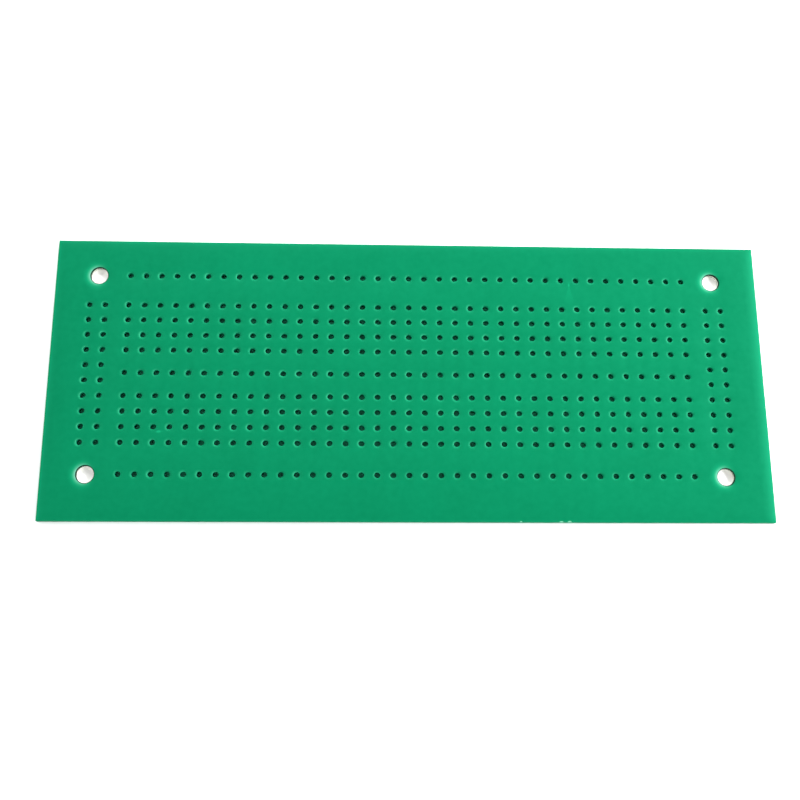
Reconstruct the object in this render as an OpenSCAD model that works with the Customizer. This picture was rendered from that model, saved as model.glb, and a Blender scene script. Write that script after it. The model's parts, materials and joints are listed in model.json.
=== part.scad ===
// Prototype board: a punched, single-sided circuit board for hand soldering.
// Components stand on the plain face and their leads pass down through a grid
// of holes to tinned copper pads on the face below.
// Millimetres, Z up. The origin is the middle of the lower face.

/* [Hole grid] */
// Pitch of the grid
pitch = 2.54; // [2.4:0.02:3]
// Columns of holes in the middle field
field_columns = 37; // [5:2:61]
// Holes in each column strip
strip_holes = 4; // [2:1:6]
// Pitches between the two inner strip rows, which a chip package straddles
chip_gap = 3; // [3:1:6]
// Pitches from the outer strip row to the rail row
rail_gap = 2; // [1:0.5:4]
// Pitches from the last field column to the inner side column
side_gap = 1.5; // [1:0.5:4]
// Diameter of a lead hole
lead_hole_d = 1.0; // [0.6:0.1:1.4]
// Diameter of a mounting hole
mount_hole_d = 3.0; // [2.2:0.1:3.4]

/* [Panel] */
// From the left mounting holes to the left edge
left_margin = 7.0; // [4:0.1:15]
// From the right mounting holes to the right edge
right_margin = 7.5; // [4:0.1:15]
// From the near mounting holes to the near edge
near_margin = 7.3; // [4:0.1:15]
// From the far mounting holes to the far edge
far_margin = 6.1; // [4:0.1:15]
// Finished thickness, with the solder mask on both faces
board_t = 1.2; // [0.8:0.1:3.2]

/* [Copper] */
// Diameter of a solder pad
pad_d = 2.0; // [1.6:0.05:2.2]
// Width of the track that joins pads
track_w = 1.2; // [0.4:0.1:1.5]
// Thickness of the copper foil
foil_t = 0.035; // [0.018:0.001:0.105]

/* [Solder mask] */
// Thickness of the mask on the upper face, and of the mask over the tracks
mask_t = 0.03; // [0.01:0.005:0.06]
// Gap between a pad and the mask around it
pad_relief = 0.08; // [0.02:0.01:0.15]

/* [Hidden] */
$fn = 32;

// How far a cut runs past the face that it opens
cut_over = 0.1;

// Layers, from the lower face up: mask over the copper, copper, laminate, mask
copper_z = mask_t;
laminate_z = copper_z + foil_t;
upper_mask_z = board_t - mask_t;
laminate_t = upper_mask_z - laminate_z;

// Rows and columns, measured from the middle of the grid
field_x = [for (i = [0 : field_columns - 1]) (i - (field_columns - 1) / 2) * pitch];
strip_y = [for (i = [0 : strip_holes - 1]) (chip_gap / 2 + i) * pitch];

// A side column has a hole at every pitch between the two outer strip rows
side_holes = chip_gap + 2 * strip_holes - 1;
side_y = [for (i = [0 : side_holes - 1]) (i - (side_holes - 1) / 2) * pitch];
rail_y = (chip_gap / 2 + strip_holes - 1 + rail_gap) * pitch;
side_inner_x = ((field_columns - 1) / 2 + side_gap) * pitch;
side_outer_x = side_inner_x + pitch;

// The mounting holes lie on the rail rows, midway between the two side columns
mount_x = (side_inner_x + side_outer_x) / 2;
mount_y = rail_y;

board_l = left_margin + 2 * mount_x + right_margin;
board_w = near_margin + 2 * mount_y + far_margin;

// The panel is cut unevenly round the grid, so the grid's middle is off centre
grid_x = (left_margin - right_margin) / 2;
grid_y = (near_margin - far_margin) / 2;

function row(y) = [for (x = field_x) [x, y]];
function strip(x, away) = [for (y = strip_y) [x, away * y]];
function side_column(x) = [for (y = side_y) [x, y]];

lead_points = concat(
    row(rail_y), row(0), row(-rail_y),
    [for (y = strip_y, away = [-1, 1], x = field_x) [x, away * y]],
    [for (x = [-side_outer_x, -side_inner_x, side_inner_x, side_outer_x]) each side_column(x)]
);
mount_points = [for (x = [-mount_x, mount_x], y = [-mount_y, mount_y]) [x, y]];

mask_green = [0.05, 0.60, 0.41];
laminate_pale = [0.78, 0.74, 0.60];
tinned = [0.78, 0.78, 0.76];

module discs(points, d) {
    translate([grid_x, grid_y])
        for (p = points) translate(p) circle(d = d);
}

// A straight track from the first to the last of a run of pads, along X or Y
module track(points) {
    first = points[0];
    span = points[len(points) - 1] - first;
    along_x = abs(span.x) > abs(span.y);
    size = along_x ? [abs(span.x), track_w] : [track_w, abs(span.y)];
    translate([grid_x, grid_y]) translate(first + span / 2) square(size, center = true);
}

// The panel's outline with every punched hole
module punched_panel() {
    difference() {
        square([board_l, board_w], center = true);
        discs(lead_points, lead_hole_d);
        discs(mount_points, mount_hole_d);
    }
}

// One island of copper: a run of pads and the track between them
module copper_run(points) {
    color(tinned) translate([0, 0, copper_z]) linear_extrude(foil_t) difference() {
        union() {
            discs(points, pad_d);
            track(points);
        }
        discs(points, lead_hole_d);
    }
}

// The laminate that carries everything
module laminate_panel() {
    color(laminate_pale) translate([0, 0, laminate_z]) linear_extrude(laminate_t)
        punched_panel();
}

// The green coat on the component face
module upper_mask() {
    color(mask_green) translate([0, 0, upper_mask_z]) linear_extrude(mask_t)
        punched_panel();
}

// The green coat on the solder face, open at each pad and closed over the tracks
module lower_mask() {
    color(mask_green) difference() {
        linear_extrude(laminate_z) difference() {
            square([board_l, board_w], center = true);
            discs(lead_points, pad_d + 2 * pad_relief);
            discs(mount_points, mount_hole_d);
        }
        translate([0, 0, copper_z]) linear_extrude(foil_t + cut_over) {
            for (y = [-rail_y, 0, rail_y]) track(row(y));
            for (x = field_x, away = [-1, 1]) track(strip(x, away));
            for (x = [-side_outer_x, -side_inner_x, side_inner_x, side_outer_x])
                track(side_column(x));
        }
    }
}

// The three rails along the board
module back_rail() copper_run(row(rail_y));
module centre_rail() copper_run(row(0));
module front_rail() copper_run(row(-rail_y));

// The short strips across the board, one to a column on each side of the centre rail
module column_strips(away) {
    for (x = field_x) copper_run(strip(x, away));
}
module back_column_strips() column_strips(1);
module front_column_strips() column_strips(-1);

// The rails of the two side blocks
module left_outer_rail() copper_run(side_column(-side_outer_x));
module left_inner_rail() copper_run(side_column(-side_inner_x));
module right_inner_rail() copper_run(side_column(side_inner_x));
module right_outer_rail() copper_run(side_column(side_outer_x));

laminate_panel();
upper_mask();
lower_mask();
back_rail();
centre_rail();
front_rail();
back_column_strips();
front_column_strips();
left_outer_rail();
left_inner_rail();
right_inner_rail();
right_outer_rail();
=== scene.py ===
import json
import math

import bpy
import numpy as np
from mathutils import Matrix, Vector, geometry


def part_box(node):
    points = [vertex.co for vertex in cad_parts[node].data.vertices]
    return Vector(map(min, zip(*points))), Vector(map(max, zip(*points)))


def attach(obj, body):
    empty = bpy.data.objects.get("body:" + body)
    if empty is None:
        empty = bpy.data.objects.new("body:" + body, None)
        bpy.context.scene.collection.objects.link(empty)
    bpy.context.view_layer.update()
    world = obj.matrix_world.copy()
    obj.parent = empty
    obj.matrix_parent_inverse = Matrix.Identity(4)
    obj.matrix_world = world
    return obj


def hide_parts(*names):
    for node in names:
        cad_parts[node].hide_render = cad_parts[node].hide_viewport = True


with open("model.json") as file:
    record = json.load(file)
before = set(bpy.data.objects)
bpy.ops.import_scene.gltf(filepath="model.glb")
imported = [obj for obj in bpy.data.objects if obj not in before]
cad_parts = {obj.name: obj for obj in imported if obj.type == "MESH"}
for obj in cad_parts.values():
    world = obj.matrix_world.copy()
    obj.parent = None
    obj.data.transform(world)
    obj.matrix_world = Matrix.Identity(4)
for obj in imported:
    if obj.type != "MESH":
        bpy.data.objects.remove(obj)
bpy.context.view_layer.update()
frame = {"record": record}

MM = 0.001
FULL_TURN = 2 * math.pi

# The punched panel: a rigid sheet of paper and glass laminate with 447 lead holes and 4 screw
# holes. The punch goes in from above, so the upper face is drawn down round every hole and
# along the sheared edges, and each hole tears a little wider towards the lower face.
RAIL_PADS = 37
HOLE_SIDES = 20
SCREW_HOLE_SIDES = 48
# How deep the upper face is drawn down at a lead hole, at a screw hole, along an edge and at
# the very arris of an edge, and how far from there each dip reaches
LEAD_DIP = 0.085 * MM
LEAD_REACH = 0.36 * MM
SCREW_DIP = 0.12 * MM
SCREW_REACH = 1.3 * MM
EDGE_DIP = 0.15 * MM
EDGE_REACH = 2.0 * MM
ARRIS_DIP = 0.035 * MM
ARRIS_REACH = 0.12 * MM
# Ranges for each lead hole, in shares: its dip, how far the dip leans to one side, and how
# strong its pale rim is, which is thin coat together with painted glow and painted sheen
SEED = 7
DIP_SHARES = (0.4, 1.6)
LEAN_SHARES = (0, 0.45)
PALE_RIM_SHARES = (0.25, 1.15)
# How far a lead hole is out of round, with the shares that forms of 2, 3 and 4 lobes have in
# it, and how far it is closed in all round and at its near side
HOLE_WOBBLE = 0.034 * MM
LOBE_SHARES = (1.0, 0.4, 0.2)
FEWEST_LOBES = 2
HOLE_CLOSED_IN = 0.008 * MM
NEAR_SIDE_IN = 0.075 * MM
# How much wider a hole is at the lower face, and the range of that along its rim, in shares
TEAR_OUT = 0.018 * MM
TEAR_SHARES = (0.2, 1.6)
# The wall's rings below the upper face, in shares of its height
WALL_LEVELS = [0.88, 0.6, 0]
# The fibres and the coat that the punch dragged down the wall of a screw hole close it in
DRAGGED_IN = 0.14 * MM
# How far in from the edge each line of points runs, the step from point to point along it,
# and how far from the corners that even step starts
EDGE_LINES = [0, ARRIS_REACH / 2, ARRIS_REACH] + [EDGE_REACH * k for k in (0.16, 0.33, 0.6, 1)]
EDGE_STEP = 1.2 * MM
CORNER_CLEAR = 1.2 * EDGE_REACH
# Chips along the near edge, as the place in X, the half width and the depth
CHIPS = [(17.3 * MM, 0.22 * MM, 0.12 * MM), (23.7 * MM, 0.42 * MM, 0.12 * MM),
         (25.0 * MM, 0.40 * MM, 0.17 * MM)]
CHIP_FADE = 0.9 * MM
CHIP_POINTS = 9
# What keeps the laminate's upper face just clear of the coat's lower one
GLUE_LINE = 0.002 * MM
SMOOTH_TO = math.radians(38)

panel_low, panel_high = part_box("laminate_panel")
OUTLINE_LOW, OUTLINE_HIGH = np.array(panel_low[:2]), np.array(panel_high[:2])
rail_low, rail_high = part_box("centre_rail")
PAD_R = (rail_high.y - rail_low.y) / 2
PITCH = (rail_high.x - rail_low.x - 2 * PAD_R) / (RAIL_PADS - 1)
mounts = {m["name"]: m for m in frame["record"]["mounts"]}
LEAD_R = mounts["lead_hole"]["dims"]["r_mm"] * MM
SCREW_R = mounts["mounting_holes"]["dims"]["hole_r_mm"] * MM
COPPER = ["back_rail", "centre_rail", "front_rail", "back_column_strips", "front_column_strips",
          "left_outer_rail", "left_inner_rail", "right_inner_rail", "right_outer_rail"]


def pad_lines(node):
    """Where a copper node has its columns and rows of pads: one to a pitch across its box."""
    low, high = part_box(node)
    return [np.linspace(a + PAD_R, b - PAD_R, round((b - a - 2 * PAD_R) / PITCH) + 1)
            for a, b in zip(low[:2], high[:2])]


pad_grid = {node: pad_lines(node) for node in COPPER}
lead_holes = np.array([(x, y) for xs, ys in pad_grid.values() for x in xs for y in ys])
pattern = mounts["mounting_holes"]
screw_holes = np.array([(pattern["pos_m"][0] + x * pattern["dims"]["spacing_x_mm"] * MM / 2,
                         pattern["pos_m"][1] + y * pattern["dims"]["spacing_y_mm"] * MM / 2)
                        for x in (-1, 1) for y in (-1, 1)])

chance = np.random.default_rng(SEED)
hole_dip = chance.uniform(*DIP_SHARES, len(lead_holes))
hole_lean = chance.uniform(*LEAN_SHARES, len(lead_holes))
hole_lean_to = chance.uniform(0, FULL_TURN, len(lead_holes))
hole_lobes = chance.uniform(-1, 1, (len(lead_holes), len(LOBE_SHARES)))
hole_turn = chance.uniform(0, FULL_TURN, (len(lead_holes), len(LOBE_SHARES)))
hole_pale_rim = chance.uniform(*PALE_RIM_SHARES, len(lead_holes))


def rings_out(radius, reach, shares):
    """Radii from a hole's rim outwards, at shares of a reach."""
    return [radius + reach * share for share in shares]


def ring_points(centres, radii, sides):
    """Circles of the given radii round each centre, inmost first."""
    turn = np.arange(sides) * FULL_TURN / sides
    circle = np.stack([np.cos(turn), np.sin(turn)], 1)
    rings = np.array(radii)[None, :, None, None] * circle[None, None]
    return (centres[:, None, None, :] + rings).reshape(-1, 2)


def edge_points(insets):
    """Points along lines that run inside the panel's edges at the given distances. The lines
    all have the same stations, so the outlines of two faces can be joined by a wall."""
    stations, lines = [], []
    for a, b in zip(OUTLINE_LOW, OUTLINE_HIGH):
        between = np.linspace(a, b, round((b - a) / EDGE_STEP) + 1)
        between = between[(between > a + CORNER_CLEAR) & (between < b - CORNER_CLEAR)]
        stations.append(np.concatenate([a + np.array(EDGE_LINES), between, b - np.array(EDGE_LINES)]))
        lines.append(np.concatenate([a + np.array(insets), b - np.array(insets)]))
    chips = [x + half * np.linspace(-1, 1, CHIP_POINTS) for x, half, depth in CHIPS]
    xs, ys = np.concatenate([stations[0]] + chips), stations[1]
    places = [(x, y) for x in xs for y in lines[1]] + [(x, y) for x in lines[0] for y in ys]
    kept_digits = 8
    return np.array(sorted({(round(x, kept_digits), round(y, kept_digits)) for x, y in places}))


def edge_distance(points):
    """How far each point is from the nearest edge of the panel."""
    return np.minimum(points - OUTLINE_LOW, OUTLINE_HIGH - points).min(-1)


def place_round_outline(point):
    """Where a point of the outline comes on one turn round it: its side and how far along."""
    x, y = (point - (OUTLINE_LOW + OUTLINE_HIGH) / 2) / (OUTLINE_HIGH - OUTLINE_LOW) * 2
    at_corner = 1 - 1e-4
    if y < -at_corner and x < at_corner:
        return 0, x
    if x > at_corner and y < at_corner:
        return 1, y
    if y > at_corner and x > -at_corner:
        return 2, -x
    return 3, -y


def lay_out(lead_radii, screw_radii, insets, extra=()):
    """The points of one face: their places, the hole that each inmost ring belongs to, and
    the rings where walls start, which are these inmost ones and, last, the outline."""
    leads = ring_points(lead_holes, lead_radii, HOLE_SIDES)
    screws = ring_points(screw_holes, screw_radii, SCREW_HOLE_SIDES)
    edges = edge_points(insets)
    blocks = [leads, screws, edges] + ([np.array(extra)] if len(extra) else [])
    points = np.concatenate(blocks)
    hole_of = np.full(len(points), -1)
    rings = []
    for first, centres, radii, sides in ((0, lead_holes, lead_radii, HOLE_SIDES),
                                         (len(leads), screw_holes, screw_radii, SCREW_HOLE_SIDES)):
        for i in range(len(centres)):
            start = first + i * len(radii) * sides
            hole_of[start:start + sides] = len(rings)
            rings.append(np.arange(start, start + sides))
    on_outline = 1e-7
    outer = len(leads) + len(screws) + np.flatnonzero(edge_distance(edges) < on_outline)
    rings.append(np.array(sorted(outer, key=lambda i: place_round_outline(points[i]))))
    return points, hole_of, rings


def triangles(points, hole_of):
    """The face's triangles, apart from those that would close a hole."""
    hull_filled, same_point = 0, 1e-6
    found = geometry.delaunay_2d_cdt([Vector(p) for p in points / MM], [], [], hull_filled, same_point)
    corners, sources = found[2], found[3]
    faces = np.array([own[0] for own in sources])[np.array(corners)]
    inside = hole_of[faces]
    closing = (inside[:, 0] >= 0) & (inside[:, 0] == inside[:, 1]) & (inside[:, 0] == inside[:, 2])
    return faces[~closing]


def nearest(points, centres):
    """For each point the nearest centre, the distance to it and the direction from it."""
    at_once = 4000
    index, away = np.zeros(len(points), int), np.zeros((len(points), 2))
    for part in range(0, len(points), at_once):
        offset = points[part:part + at_once, None] - centres[None]
        best = (offset ** 2).sum(2).argmin(1)
        index[part:part + at_once] = best
        away[part:part + at_once] = offset[np.arange(len(best)), best]
    return index, np.hypot(away[:, 0], away[:, 1]), np.arctan2(away[:, 1], away[:, 0])


def fade(distance, reach):
    """1 at no distance, falling smoothly to 0 at the reach."""
    return np.clip(1 - distance / reach, 0, 1) ** 2


def drawn_down(points):
    """How far the upper face lies below its level at each point."""
    index, away, turn = nearest(points, lead_holes)
    lean = 1 + hole_lean[index] * np.cos(turn - hole_lean_to[index])
    lead = LEAD_DIP * hole_dip[index] * lean * fade(away - LEAD_R, LEAD_REACH)
    screw = SCREW_DIP * fade(nearest(points, screw_holes)[1] - SCREW_R, SCREW_REACH)
    inset = edge_distance(points)
    return lead + screw + EDGE_DIP * fade(inset, EDGE_REACH) + ARRIS_DIP * fade(inset, ARRIS_REACH)


def punched(points, chipped=False):
    """The points moved to where the punch, and the chips if asked for, really leave them."""
    moved = points.copy()
    index, away, turn = nearest(points, lead_holes)
    lobes = sum(share * hole_lobes[index, k] * np.cos((k + FEWEST_LOBES) * turn + hole_turn[index, k])
                for k, share in enumerate(LOBE_SHARES))
    closed_in = HOLE_CLOSED_IN + NEAR_SIDE_IN * np.clip(-np.sin(turn), 0, 1)
    out = (HOLE_WOBBLE * lobes - closed_in) * fade(away - LEAD_R, LEAD_REACH)
    moved[:, 0] += out * np.cos(turn)
    moved[:, 1] += out * np.sin(turn)
    if chipped:
        inset = points[:, 1] - panel_low.y
        for x, half, depth in CHIPS:
            bite = depth * np.clip(1 - ((points[:, 0] - x) / half) ** 2, 0, 1)
            moved[:, 1] += bite * np.clip(1 - inset / CHIP_FADE, 0, 1)
    return moved


def band(lower, upper):
    """The quads between two rings of the same count, facing out from the ring's inside."""
    after_lower, after_upper = np.roll(lower, -1), np.roll(upper, -1)
    return list(zip(lower, after_lower, after_upper, upper))


def wall_band(lower, upper, is_outline):
    """The quads of a wall, facing out of the sheet at its outline and into a hole elsewhere."""
    return band(lower, upper) if is_outline else band(upper, lower)


def mesh_piece(name, verts, faces, attributes=None, smooth_to=SMOOTH_TO):
    """A closed mesh object, smooth but for its arrises."""
    mesh = bpy.data.meshes.new(name)
    mesh.from_pydata([tuple(v) for v in verts], [], [tuple(int(i) for i in f) for f in faces])
    mesh.validate()
    for key, values in (attributes or {}).items():
        layer = mesh.attributes.new(key, "FLOAT", "POINT" if len(values) == len(verts) else "FACE")
        layer.data.foreach_set("value", np.asarray(values, np.float32))
    mesh.shade_smooth()
    mesh.set_sharp_from_angle(angle=smooth_to)
    piece = bpy.data.objects.new(name, mesh)
    bpy.context.scene.collection.objects.link(piece)
    return piece


# The upper face takes every other edge line, and the lower face only its rims and its outline
CORE_RINGS = rings_out(LEAD_R, LEAD_REACH, (0, 0.3, 1))
CORE_SCREW_RINGS = rings_out(SCREW_R, SCREW_REACH, (0, 0.15, 0.35, 0.65, 1))
core_points, core_hole_of, core_rings = lay_out(CORE_RINGS, CORE_SCREW_RINGS, EDGE_LINES[::2])
core_faces = triangles(core_points, core_hole_of)
core_dip = drawn_down(core_points)
core_places = punched(core_points)
core_z = panel_high.z - GLUE_LINE - core_dip

floor_points, floor_hole_of, floor_rings = lay_out([LEAD_R], [SCREW_R], [0])
floor_faces = triangles(floor_points, floor_hole_of)

verts = [np.column_stack([core_places, core_z])]
faces = [tuple(f) for f in core_faces]
count = len(core_points)
marked = {"soaked": list(range(len(core_faces))), "in_hole": [], "on_edge": [], "smeared_and_shaded": []}
floor_to_wall = {}
for number, (upper, own) in enumerate(zip(core_rings, floor_rings)):
    is_outline = number == len(core_rings) - 1
    is_lead = number < len(lead_holes)
    is_screw = not is_lead and not is_outline
    rim, rim_z = core_places[upper], core_z[upper]
    outward = core_points[upper] - core_points[upper].mean(0)
    outward *= 0 if is_outline else 1 / (LEAD_R if is_lead else SCREW_R)
    for level in WALL_LEVELS:
        # The coat is smeared down the wall of a screw hole, but leaves its lower part bare; the
        # smeared band's dark colour is partly that coat and partly painted shade
        is_smeared_and_shaded = is_screw and level > 0
        wider = TEAR_OUT * (1 - level) * chance.uniform(*TEAR_SHARES, len(upper))
        wider -= DRAGGED_IN if is_smeared_and_shaded else 0
        verts.append(np.column_stack([rim + outward * wider[:, None],
                                      panel_low.z + (rim_z - panel_low.z) * level]))
        lower = np.arange(count, count + len(upper))
        wall = wall_band(lower, upper, is_outline)
        for key, belongs in (("in_hole", is_lead), ("on_edge", is_outline), ("smeared_and_shaded", is_smeared_and_shaded)):
            marked[key] += range(len(faces), len(faces) + len(wall)) if belongs else []
        faces += wall
        count += len(upper)
        upper = lower
    floor_to_wall.update(zip(own.tolist(), upper.tolist()))
faces += [tuple(floor_to_wall[i] for i in reversed(f.tolist())) for f in floor_faces]
attributes = {key: np.zeros(len(faces)) for key in marked}
for key, numbers in marked.items():
    attributes[key][numbers] = 1
panel = mesh_piece("punched_panel", np.concatenate(verts), faces, attributes)


def make_material(name, settings):
    """A material of one Principled shader, with what is uniform set on its own sockets."""
    made = bpy.data.materials.new(name)
    made.use_nodes = True
    shader = made.node_tree.nodes["Principled BSDF"]
    for socket, value in settings.items():
        shader.inputs[socket].default_value = value
    return made, shader


def add_node(made, kind, inputs, **settings):
    """One more node: inputs gives each socket a value or another node's output."""
    added = made.node_tree.nodes.new(kind)
    for key, value in settings.items():
        setattr(added, key, value)
    for socket, value in inputs.items():
        if isinstance(value, bpy.types.NodeSocket):
            made.node_tree.links.new(value, added.inputs[socket])
        else:
            added.inputs[socket].default_value = value
    return added


def noise(made, scale, detail=3.0, stretch=(1, 1, 1)):
    """Noise in the piece's own space, with its scale in patches to a metre."""
    place = add_node(made, "ShaderNodeTexCoord", {}).outputs["Object"]
    stretched = add_node(made, "ShaderNodeMapping", {"Vector": place, "Scale": stretch})
    return add_node(made, "ShaderNodeTexNoise", {"Vector": stretched.outputs["Vector"],
                                                 "Scale": scale, "Detail": detail}).outputs["Fac"]


# Most values of the noise lie in this range
NOISE_RANGE = (0.3, 0.7)


def spread(made, value, low, high, at=NOISE_RANGE):
    """The value, taken from one range to another."""
    return add_node(made, "ShaderNodeMapRange", {"Value": value, "From Min": at[0], "From Max": at[1],
                                                 "To Min": low, "To Max": high}).outputs["Result"]


def blended(made, factor, one, other):
    """A colour between two, by the factor."""
    first_colour, second_colour, colour_out = 6, 7, 2
    return add_node(made, "ShaderNodeMix", {"Factor": factor, first_colour: one, second_colour: other},
                    data_type="RGBA").outputs[colour_out]


def attribute(made, name):
    """A value that the mesh carries on its points or faces."""
    return add_node(made, "ShaderNodeAttribute", {}, attribute_name=name).outputs["Fac"]


def feed(made, shader, socket, value):
    """A socket of the shader, led by another node's output."""
    made.node_tree.links.new(value, shader.inputs[socket])


def roughen(made, shader, height, depth):
    """A bump of the given depth in metres on the shader."""
    bump = add_node(made, "ShaderNodeBump", {"Height": height, "Distance": depth, "Strength": 1.0})
    feed(made, shader, "Normal", bump.outputs["Normal"])


FIBRES = {"scale": 900, "detail": 6, "stretch": (1, 1, 6)}
LAYERS = {"scale": 400, "detail": 4, "stretch": (0.3, 0.3, 14)}
FIBRE_RELIEF = 0.03 * MM
# Bare laminate, the upper face that the coat has soaked into, the cut edges and the walls of
# the lead holes, which light through the coats tints, and the coat smeared down the screw
# holes, darkened with painted shade
BARE = ((0.66, 0.65, 0.55, 1), (0.80, 0.79, 0.70, 1))
SOAKED = ((0.14, 0.42, 0.27, 1), (0.21, 0.55, 0.38, 1))
CUT_EDGE = ((0.0018, 0.140, 0.065, 1), (0.0058, 0.206, 0.108, 1))
HOLE_WALL = ((0.0014, 0.155, 0.082, 1), (0.0032, 0.220, 0.122, 1))
SMEARED_AND_SHADED = ((0.008, 0.030, 0.020, 1), (0.015, 0.050, 0.034, 1))

laminate, shader = make_material("laminate", {"Roughness": 0.75, "Specular IOR Level": 0.08})
fibres = spread(laminate, noise(laminate, **FIBRES), 0, 1)
layers = spread(laminate, noise(laminate, **LAYERS), 0, 1)
shown = blended(laminate, fibres, *BARE)
for key, mix, colours in (("soaked", fibres, SOAKED), ("on_edge", layers, CUT_EDGE),
                          ("in_hole", fibres, HOLE_WALL), ("smeared_and_shaded", fibres, SMEARED_AND_SHADED)):
    shown = blended(laminate, attribute(laminate, key), shown, blended(laminate, mix, *colours))
feed(laminate, shader, "Base Color", shown)
roughen(laminate, shader, fibres, FIBRE_RELIEF)
panel.data.materials.append(laminate)
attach(panel, "root")
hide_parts("laminate_panel")


# The copper: foil left by the etch on the lower face, in rails of joined pads along and across
# the panel and short strips between them. A dip in hot tin leaves a low crown on every pad.
TRACK_W = 1.2 * MM
TRACK_ARC_SIDES = 4
PAD_ARC_SIDES = 8
# The crown's profile from the pad's edge into its hole, in shares of the pad's radius and of
# the crown's height
CROWN = [(1.0, 0.0), (0.965, 0.42), (0.88, 0.8), (0.74, 0.93), (0.6, 0.7), (0.53, 0.25), (0.5, -0.5)]
CROWN_HEIGHT = 0.022 * MM
# The crowns' height goes up and down from pad to pad, and each leans a little to one side
CROWN_SWELL = 0.8
CROWN_WAVE = 0.3
WAVE_STEP = 2.3
CROWN_LEAN = 0.12
CROWN_SMOOTH_TO = math.radians(60)
TIN_FLOW = {"scale": 700, "detail": 5}
TIN_GRAIN = {"scale": 2600, "detail": 3}
TIN_COLOURS = ((0.62, 0.62, 0.61, 1), (0.80, 0.79, 0.77, 1))
TIN_ROUGH = (0.22, 0.42)
TIN_RELIEF = 0.02 * MM


def level_ring(centre, radius, circle, z):
    """A ring of points round a pad's centre, at one height or at a height for each point."""
    x, y = centre
    return np.column_stack([x + radius * circle[:, 0], y + radius * circle[:, 1],
                            np.broadcast_to(z, (len(circle),))])


def tinned_run(pads, along_x, first, verts, faces, phase):
    """One island of copper: its pads and the tracks between them, as one closed shell."""
    half = math.asin(TRACK_W / 2 / PAD_R)
    side = np.linspace(-half, half, TRACK_ARC_SIDES + 1)[:-1]
    top = np.linspace(half, math.pi - half, PAD_ARC_SIDES + 1)[:-1]
    turn = np.concatenate([side, top, side + math.pi, top + math.pi])
    turn = turn if along_x else turn + math.pi / 2
    circle = np.stack([np.cos(turn), np.sin(turn)], 1)
    sides, opposite = len(turn), len(turn) // 2
    low, high = rail_low.z, rail_high.z
    rings = len(CROWN) + 2
    for n, pad in enumerate(pads):
        has_next = n < len(pads) - 1
        swell = CROWN_HEIGHT * (CROWN_SWELL + CROWN_WAVE * math.sin(phase + WAVE_STEP * n))
        tilt = 1 + circle @ chance.uniform(-CROWN_LEAN, CROWN_LEAN, 2)
        for share, rise in CROWN:
            hang = swell * rise * (tilt if rise > 0 else 1)
            verts.append(level_ring(pad, PAD_R * share, circle, low - hang))
        for radius in (LEAD_R, PAD_R):
            verts.append(level_ring(pad, radius, circle, high))
        *crown, bore, back = [first + (n * rings + k) * sides + np.arange(sides) for k in range(rings)]
        for outer, inner in zip(crown, crown[1:]):
            faces += band(inner, outer)
        faces += band(bore, crown[-1])
        faces += band(back, bore)
        to_next = range(TRACK_ARC_SIDES) if has_next else ()
        to_last = range(opposite, opposite + TRACK_ARC_SIDES) if n else ()
        faces += [quad for k, quad in enumerate(band(crown[0], back))
                  if k not in to_next and k not in to_last]
        if has_next:
            here = crown[0][:TRACK_ARC_SIDES + 1]
            there = crown[0][opposite:opposite + TRACK_ARC_SIDES + 1][::-1] + rings * sides
            here_back, there_back = (ends + (rings - 1) * sides for ends in (here, there))
            for k in range(TRACK_ARC_SIDES):
                faces.append((here[k], here[k + 1], there[k + 1], there[k]))
                faces.append((here_back[k], there_back[k], there_back[k + 1], here_back[k + 1]))
            faces.append((here[0], there[0], there_back[0], here_back[0]))
            faces.append((there[-1], here[-1], here_back[-1], there_back[-1]))
    return first + len(pads) * rings * sides


tin, shader = make_material("tinned_copper", {"Metallic": 1.0})
flow = noise(tin, **TIN_FLOW)
feed(tin, shader, "Base Color", blended(tin, spread(tin, flow, 0, 1), *TIN_COLOURS))
feed(tin, shader, "Roughness", spread(tin, noise(tin, **TIN_GRAIN), *TIN_ROUGH))
roughen(tin, shader, flow, TIN_RELIEF)

runs = {}
for node in COPPER:
    xs, ys = pad_grid[node]
    along_x = len(ys) == 1
    runs[node] = [[(x, ys[0]) for x in xs]] if along_x else [[(x, y) for y in ys] for x in xs]
    verts, faces, count = [], [], 0
    for number, run in enumerate(runs[node]):
        count = tinned_run(run, along_x, count, verts, faces, number)
    copper = mesh_piece("tinned_" + node, np.concatenate(verts), faces, smooth_to=CROWN_SMOOTH_TO)
    copper.data.materials.append(tin)
    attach(copper, "root")
    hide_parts(node)


# The lower coat: green solder mask screened over the solder face, open at each pad and closed
# over the tracks, which show through it as low ridges of a lighter green.
PAD_GAP = 0.08 * MM
PAD_OPENING_R = PAD_R + PAD_GAP
LEVEL_DOWN = 0.02 * MM
LIP_DOWN = 0.5 * LEVEL_DOWN
RIDGE_SHOULDER = 0.1 * MM
OPENING_LIP = 0.06 * MM
# Points along a track between two openings: how many, how far along, and the least half length
BRIDGE_POINTS = 4
BRIDGE_SHARE = 0.8
BRIDGE_LEAST = 0.05 * MM
MASK_GREEN = (0.0015, 0.143, 0.0605, 1)
MASK_LIGHT = (0.0070, 0.280, 0.128, 1)
MASK_DEEP = (0.0015, 0.130, 0.0537, 1)
MASK_GLOSS = {"IOR": 1.5, "Specular IOR Level": 0.07, "Specular Tint": (0.05, 1.0, 0.75, 1)}
MASK_SKIN = {"scale": 3500, "detail": 2}
MASK_RELIEF = 0.004 * MM
LOWER_CLOUD = {"scale": 160, "detail": 4}
LOWER_SHEEN = {"scale": 1500, "detail": 3}
LOWER_ROUGH = (0.28, 0.42)

lower_low, lower_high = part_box("lower_mask")
bridges = [((a[0] + b[0]) / 2, (a[1] + b[1]) / 2, a[1] == b[1])
           for node in COPPER for run in runs[node] for a, b in zip(run, run[1:])]


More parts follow.
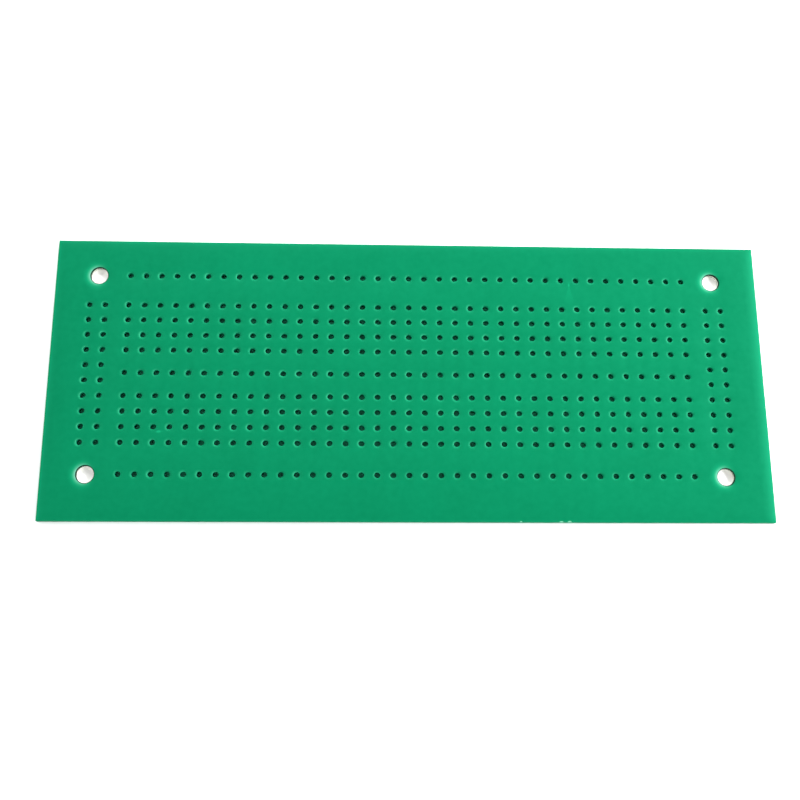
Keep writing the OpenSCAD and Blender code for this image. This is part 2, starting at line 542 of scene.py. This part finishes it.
def bridge_points(flanks):
    """Points along both flanks of every track where the coat crosses it."""
    points = []
    for x, y, along_x in bridges:
        for flank in flanks:
            end = PITCH / 2 - math.sqrt(max((PAD_OPENING_R + OPENING_LIP) ** 2 - flank ** 2, 0))
            for along in np.linspace(-BRIDGE_SHARE, BRIDGE_SHARE, BRIDGE_POINTS) * max(end, BRIDGE_LEAST):
                for across in (flank, -flank):
                    points.append((x + along, y + across) if along_x else (x + across, y + along))
    return points


def over_track(points):
    """1 where the coat lies on a track, falling to 0 past the track's flank."""
    centres = np.array([(x, y) for x, y, along_x in bridges])
    along_xs = np.array([along_x for x, y, along_x in bridges])
    index = nearest(points, centres)[0]
    offset = np.abs(points - centres[index])
    across = np.where(along_xs[index], offset[:, 1], offset[:, 0])
    along = np.where(along_xs[index], offset[:, 0], offset[:, 1])
    flank = np.clip((TRACK_W / 2 + RIDGE_SHOULDER / 2 - across) / RIDGE_SHOULDER, 0, 1)
    return np.where(along < PITCH / 2, flank, 0)


def coat_walls(low_rings, high_rings):
    """The walls of a coat's holes and of its outline, between the rings of its two faces."""
    last = len(low_rings) - 1
    return [quad for number, (low, high) in enumerate(zip(low_rings, high_rings))
            for quad in wall_band(low, high, number == last)]


ridges = bridge_points([TRACK_W / 2 - RIDGE_SHOULDER / 2, TRACK_W / 2 + RIDGE_SHOULDER / 2])
lower_points, lower_hole_of, lower_rings = lay_out(
    [PAD_OPENING_R, PAD_OPENING_R + OPENING_LIP], [SCREW_R, SCREW_R + 2 * OPENING_LIP],
    [0, ARRIS_REACH], ridges)
lower_faces = triangles(lower_points, lower_hole_of)
on_track = over_track(lower_points)
lip = fade(nearest(lower_points, lead_holes)[1] - PAD_OPENING_R, OPENING_LIP)
# Paler where the coat runs thin, at each opening's lip and at the arris
paler = np.maximum(lip, fade(edge_distance(lower_points), ARRIS_REACH))
under_z = lower_low.z + LEVEL_DOWN * (1 - on_track) + LIP_DOWN * paler
seat_z = np.where(on_track > 0.5, rail_low.z, lower_high.z)
verts = np.concatenate([np.column_stack([lower_points, under_z]),
                        np.column_stack([lower_points, seat_z])])
count = len(lower_points)
faces = [tuple(reversed(f.tolist())) for f in lower_faces] + [tuple(f + count) for f in lower_faces]
faces += coat_walls(lower_rings, [ring + count for ring in lower_rings])
lower_coat = mesh_piece("lower_solder_mask", verts, faces,
                        {"on_track": np.tile(on_track, 2), "paler": np.tile(paler, 2)})

lower_green, shader = make_material("lower_solder_mask", MASK_GLOSS)
cloud = noise(lower_green, **LOWER_CLOUD)
shown = blended(lower_green, spread(lower_green, cloud, 0, 1), MASK_DEEP, MASK_GREEN)
for key in ("on_track", "paler"):
    shown = blended(lower_green, attribute(lower_green, key), shown, MASK_LIGHT)
feed(lower_green, shader, "Base Color", shown)
feed(lower_green, shader, "Roughness", spread(lower_green, noise(lower_green, **LOWER_SHEEN), *LOWER_ROUGH))
roughen(lower_green, shader, noise(lower_green, **MASK_SKIN), MASK_RELIEF)
lower_coat.data.materials.append(lower_green)
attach(lower_coat, "root")
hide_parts("lower_mask")


# The upper coat: the same green mask, rolled and baked onto the component face before the
# panel was punched. It follows the drawn-in rims, thins out over every arris, and has flaked
# off at three small chips on the near edge. Its green is painted paler as a glow along the
# edges and at the side of each hole that faces the window, with a painted sheen at those rims.
COAT_RINGS = rings_out(LEAD_R, LEAD_REACH, (0, 0.08, 0.24, 0.5, 1))
COAT_SCREW_RINGS = rings_out(SCREW_R, SCREW_REACH, (0, 0.03, 0.08, 0.16, 0.28, 0.45, 0.7, 1))
# How far from a lead hole the coat is thin, how far from a screw hole its painted glow and its
# painted sheen reach, and the share of its thickness that is gone at the arris of a lead hole
RIM_THIN = 0.30 * MM
SCREW_GLOW_REACH = 1.4 * MM
SCREW_SHEEN_REACH = 0.55 * MM
RIM_LOSS = 0.4
# The left of each hole faces the window, so the coat there is painted paler as a glow and given
# a painted sheen. At a lead hole that side is turned a little to the far edge, and a share of
# the pale rim, where the coat is thin, goes all round
LEAD_GLOW_TURN = math.radians(22)
THIN_ALL_ROUND = 0.48
LEAD_SHEEN_SHARE = 0.18
# How far in from the left, near, right and far edge the coat is painted paler as a glow, and
# how much; most on the right, toward the window
EDGE_GLOWS = [(1.1 * MM, 0.42), (0.6 * MM, 0.16), (2.2 * MM, 0.53), (0.9 * MM, 0.28)]
# The strips below throw light back up through the sheet, which lifts the field's green a little
FIELD_HALF = np.array([48, 15]) * MM
FIELD_FADE = 5 * MM
FIELD_LIFT = 0.04
# Specks where the coat is thin and light: the place in X and Y, the half length, the half
# width and the turn
SPECKS = [((-39.96 * MM, -9.03 * MM), 0.42 * MM, 0.19 * MM, 0.1),
          ((26.5 * MM, 16.3 * MM), 0.30 * MM, 0.13 * MM, 1.5)]
SPECK_STRENGTH = 1.2
SPECK_RINGS = (0.35, 0.7, 1.0)
SPECK_SIDES = 12
# The pale colour of the painted sheen on the lit rims
SHEEN_RIM = (0.12, 0.34, 0.25, 1)
UPPER_CLOUD = {"scale": 90, "detail": 3}
UPPER_GRAIN = {"scale": 1100, "detail": 4}
CLOUD_SHARES = (0.35, 1)
GRAIN_SHARES = (0, 0.07)
UPPER_ROUGH = (0.34, 0.46)


def speck(points):
    """How light the coat is at each point for the specks."""
    value = np.zeros(len(points))
    for (x, y), length, width, turn in SPECKS:
        dx, dy = points[:, 0] - x, points[:, 1] - y
        u = (dx * math.cos(turn) + dy * math.sin(turn)) / length
        v = (dy * math.cos(turn) - dx * math.sin(turn)) / width
        value = np.maximum(value, np.clip(SPECK_STRENGTH - np.hypot(u, v), 0, 1))
    return value


def leftness(turn):
    """1 at the left of a hole, falling to 0 at its right."""
    return (1 - np.cos(turn)) / 2


upper_low, upper_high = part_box("upper_mask")
speck_points = np.concatenate([ring_points(np.array([place]), [length * k for k in SPECK_RINGS], SPECK_SIDES)
                               for place, length, width, turn in SPECKS])
coat_points, coat_hole_of, coat_rings = lay_out(COAT_RINGS, COAT_SCREW_RINGS, EDGE_LINES, speck_points)
coat_faces = triangles(coat_points, coat_hole_of)

hole, away, turn = nearest(coat_points, lead_holes)
rim = fade(away - LEAD_R, RIM_THIN)
left = leftness(turn + LEAD_GLOW_TURN)
# A lead hole's pale rim: thin coat all round, plus painted glow and painted sheen on its lit side
lead_thin_and_glow = rim * hole_pale_rim[hole] * (THIN_ALL_ROUND + (1 - THIN_ALL_ROUND) * left)
lead_sheen = LEAD_SHEEN_SHARE * rim * hole_pale_rim[hole] * left ** 2
# A screw hole's painted glow and painted sheen lie on its lit left side only
_, away, turn = nearest(coat_points, screw_holes)
left = leftness(turn)
screw_glow = fade(away - SCREW_R, SCREW_GLOW_REACH) * left
screw_sheen = fade(away - SCREW_R, SCREW_SHEEN_REACH) * left ** 2
# Painted glow along each edge
insets = np.column_stack([coat_points - OUTLINE_LOW, OUTLINE_HIGH - coat_points])
edge_glow = np.max([share * fade(insets[:, k], reach) for k, (reach, share) in enumerate(EDGE_GLOWS)], 0)
# Paler where the coat is thin or specked and where glow is painted; painted sheen at lit rims
paler = np.clip(np.maximum.reduce([lead_thin_and_glow, screw_glow, edge_glow, speck(coat_points)]), 0, 1)
painted_sheen = np.maximum(lead_sheen, screw_sheen)
outside = np.abs(coat_points - pattern["pos_m"][:2]) - FIELD_HALF
over_field = 1 - np.clip(np.hypot(*np.maximum(outside, 0).T) / FIELD_FADE, 0, 1)

coat_z = upper_high.z - drawn_down(coat_points) - RIM_LOSS * (upper_high.z - upper_low.z) * rim
verts = np.concatenate([np.column_stack([punched(coat_points, chipped=True), coat_z]),
                        np.column_stack([punched(core_points, chipped=True), upper_low.z - core_dip])])
count = len(coat_points)
faces = [tuple(f) for f in coat_faces] + [tuple(reversed((f + count).tolist())) for f in core_faces]
faces += coat_walls([ring + count for ring in core_rings], coat_rings)
none_below = np.zeros(len(core_points))
upper_coat = mesh_piece("upper_solder_mask", verts, faces,
                        {"paler": np.concatenate([paler, none_below]),
                         "painted_sheen": np.concatenate([painted_sheen, none_below]),
                         "over_field": np.concatenate([over_field, none_below])})

upper_green, shader = make_material("upper_solder_mask", MASK_GLOSS)
cloud = noise(upper_green, **UPPER_CLOUD)
grain = noise(upper_green, **UPPER_GRAIN)
shown = blended(upper_green, spread(upper_green, cloud, *CLOUD_SHARES), MASK_DEEP, MASK_GREEN)
shown = blended(upper_green, spread(upper_green, grain, *GRAIN_SHARES), shown, MASK_LIGHT)
lifted = spread(upper_green, attribute(upper_green, "over_field"), 0, FIELD_LIFT, (0, 1))
shown = blended(upper_green, lifted, shown, MASK_LIGHT)
# Paler for the thin coat, the specks and the painted glow, then the painted sheen
shown = blended(upper_green, attribute(upper_green, "paler"), shown, MASK_LIGHT)
shown = blended(upper_green, attribute(upper_green, "painted_sheen"), shown, SHEEN_RIM)
feed(upper_green, shader, "Base Color", shown)
feed(upper_green, shader, "Roughness", spread(upper_green, grain, *UPPER_ROUGH))
roughen(upper_green, shader, noise(upper_green, **MASK_SKIN), MASK_RELIEF)
upper_coat.data.materials.append(upper_green)
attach(upper_coat, "root")
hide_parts("upper_mask")


# The table: a plain white sheet that the board lies on, much larger than the board and lit so
# brightly that it looks as white as the pale room.
TABLE_HALF = 0.5
PAPER_GRAIN = {"scale": 300, "detail": 2}
PAPER_WHITES = ((0.93, 0.93, 0.93, 1), (0.96, 0.96, 0.96, 1))

table_mesh = bpy.data.meshes.new("table")
corners = [(x * TABLE_HALF, y * TABLE_HALF, 0) for x, y in ((-1, -1), (1, -1), (1, 1), (-1, 1))]
table_mesh.from_pydata(corners, [], [range(len(corners))])
table = bpy.data.objects.new("table", table_mesh)
bpy.context.scene.collection.objects.link(table)
paper, shader = make_material("white_paper", {"Roughness": 0.9, "Specular IOR Level": 0.1})
feed(paper, shader, "Base Color", blended(paper, noise(paper, **PAPER_GRAIN), *PAPER_WHITES))
table_mesh.materials.append(paper)


# The light: a soft window on the right, close to the board, and weaker soft light from the
# other sides. The room is pale along the horizon and dark overhead, so the small holes stay
# dark and the flat green shows no glare.

# The heights between which the room's light falls, from -1 straight down to 1 straight up, and
# its strength below and above them
HORIZON = (0.22, 0.42)
PALE_LOW = 1.0
DARK_HIGH = 0.005

bpy.context.scene.view_settings.view_transform = "Standard"
world = bpy.data.worlds.new("pale_room")
world.use_nodes = True
backdrop = world.node_tree.nodes["Background"]
backdrop.inputs["Color"].default_value = (1, 1, 1, 1)
toward_sky = add_node(world, "ShaderNodeTexCoord", {}).outputs["Generated"]
height = add_node(world, "ShaderNodeSeparateXYZ", {"Vector": toward_sky}).outputs["Z"]
feed(world, backdrop, "Strength", spread(world, height, PALE_LOW, DARK_HIGH, HORIZON))
bpy.context.scene.world = world


def soft_light(name, toward, rise, distance, wide, high, power):
    """A lamp that faces the board, from a compass direction and a height in degrees."""
    lamp = bpy.data.lights.new(name, "AREA")
    lamp.shape = "RECTANGLE"
    lamp.size = wide
    lamp.size_y = high
    lamp.energy = power
    body = bpy.data.objects.new(name, lamp)
    turn, up = math.radians(toward), math.radians(rise)
    place = Vector((math.cos(turn) * math.cos(up), math.sin(turn) * math.cos(up), math.sin(up)))
    body.location = place * distance
    body.rotation_euler = (-place).to_track_quat("-Z", "Y").to_euler()
    bpy.context.scene.collection.objects.link(body)


soft_light("window", toward=9, rise=36, distance=0.38, wide=0.40, high=0.13, power=3.05)
soft_light("left_bounce", toward=178, rise=38, distance=0.60, wide=0.50, high=0.21, power=1.63)
soft_light("near_bounce", toward=274, rise=38, distance=0.70, wide=0.60, high=0.24, power=2.33)
soft_light("far_bounce", toward=94, rise=38, distance=0.28, wide=0.30, high=0.10, power=0.96)


# The camera: held by hand over the near side of the board and a little to the left, 156 mm up
# and tilted 14 degrees from straight down.
CAMERA_AT = Vector((-7.8, -42.05, 156.4)) * MM
LOOKS_TO = Vector((0.0380, 0.2402, -0.9700)).normalized()
UPWARD = Vector((-0.0073, 0.9707, 0.2401))
SENSOR_W = 36.0
FOCAL_LENGTH = 44.73
SEES_FROM = 0.01

camera_data = bpy.data.cameras.new("camera")
camera_data.sensor_width = SENSOR_W
camera_data.lens = FOCAL_LENGTH
camera_data.clip_start = SEES_FROM
camera = bpy.data.objects.new("camera", camera_data)
bpy.context.scene.collection.objects.link(camera)
rightward = LOOKS_TO.cross(UPWARD).normalized()
upward = rightward.cross(LOOKS_TO)
camera.matrix_world = (Matrix.Translation(CAMERA_AT)
                       @ Matrix((rightward, upward, -LOOKS_TO)).transposed().to_4x4())
bpy.context.scene.camera = camera
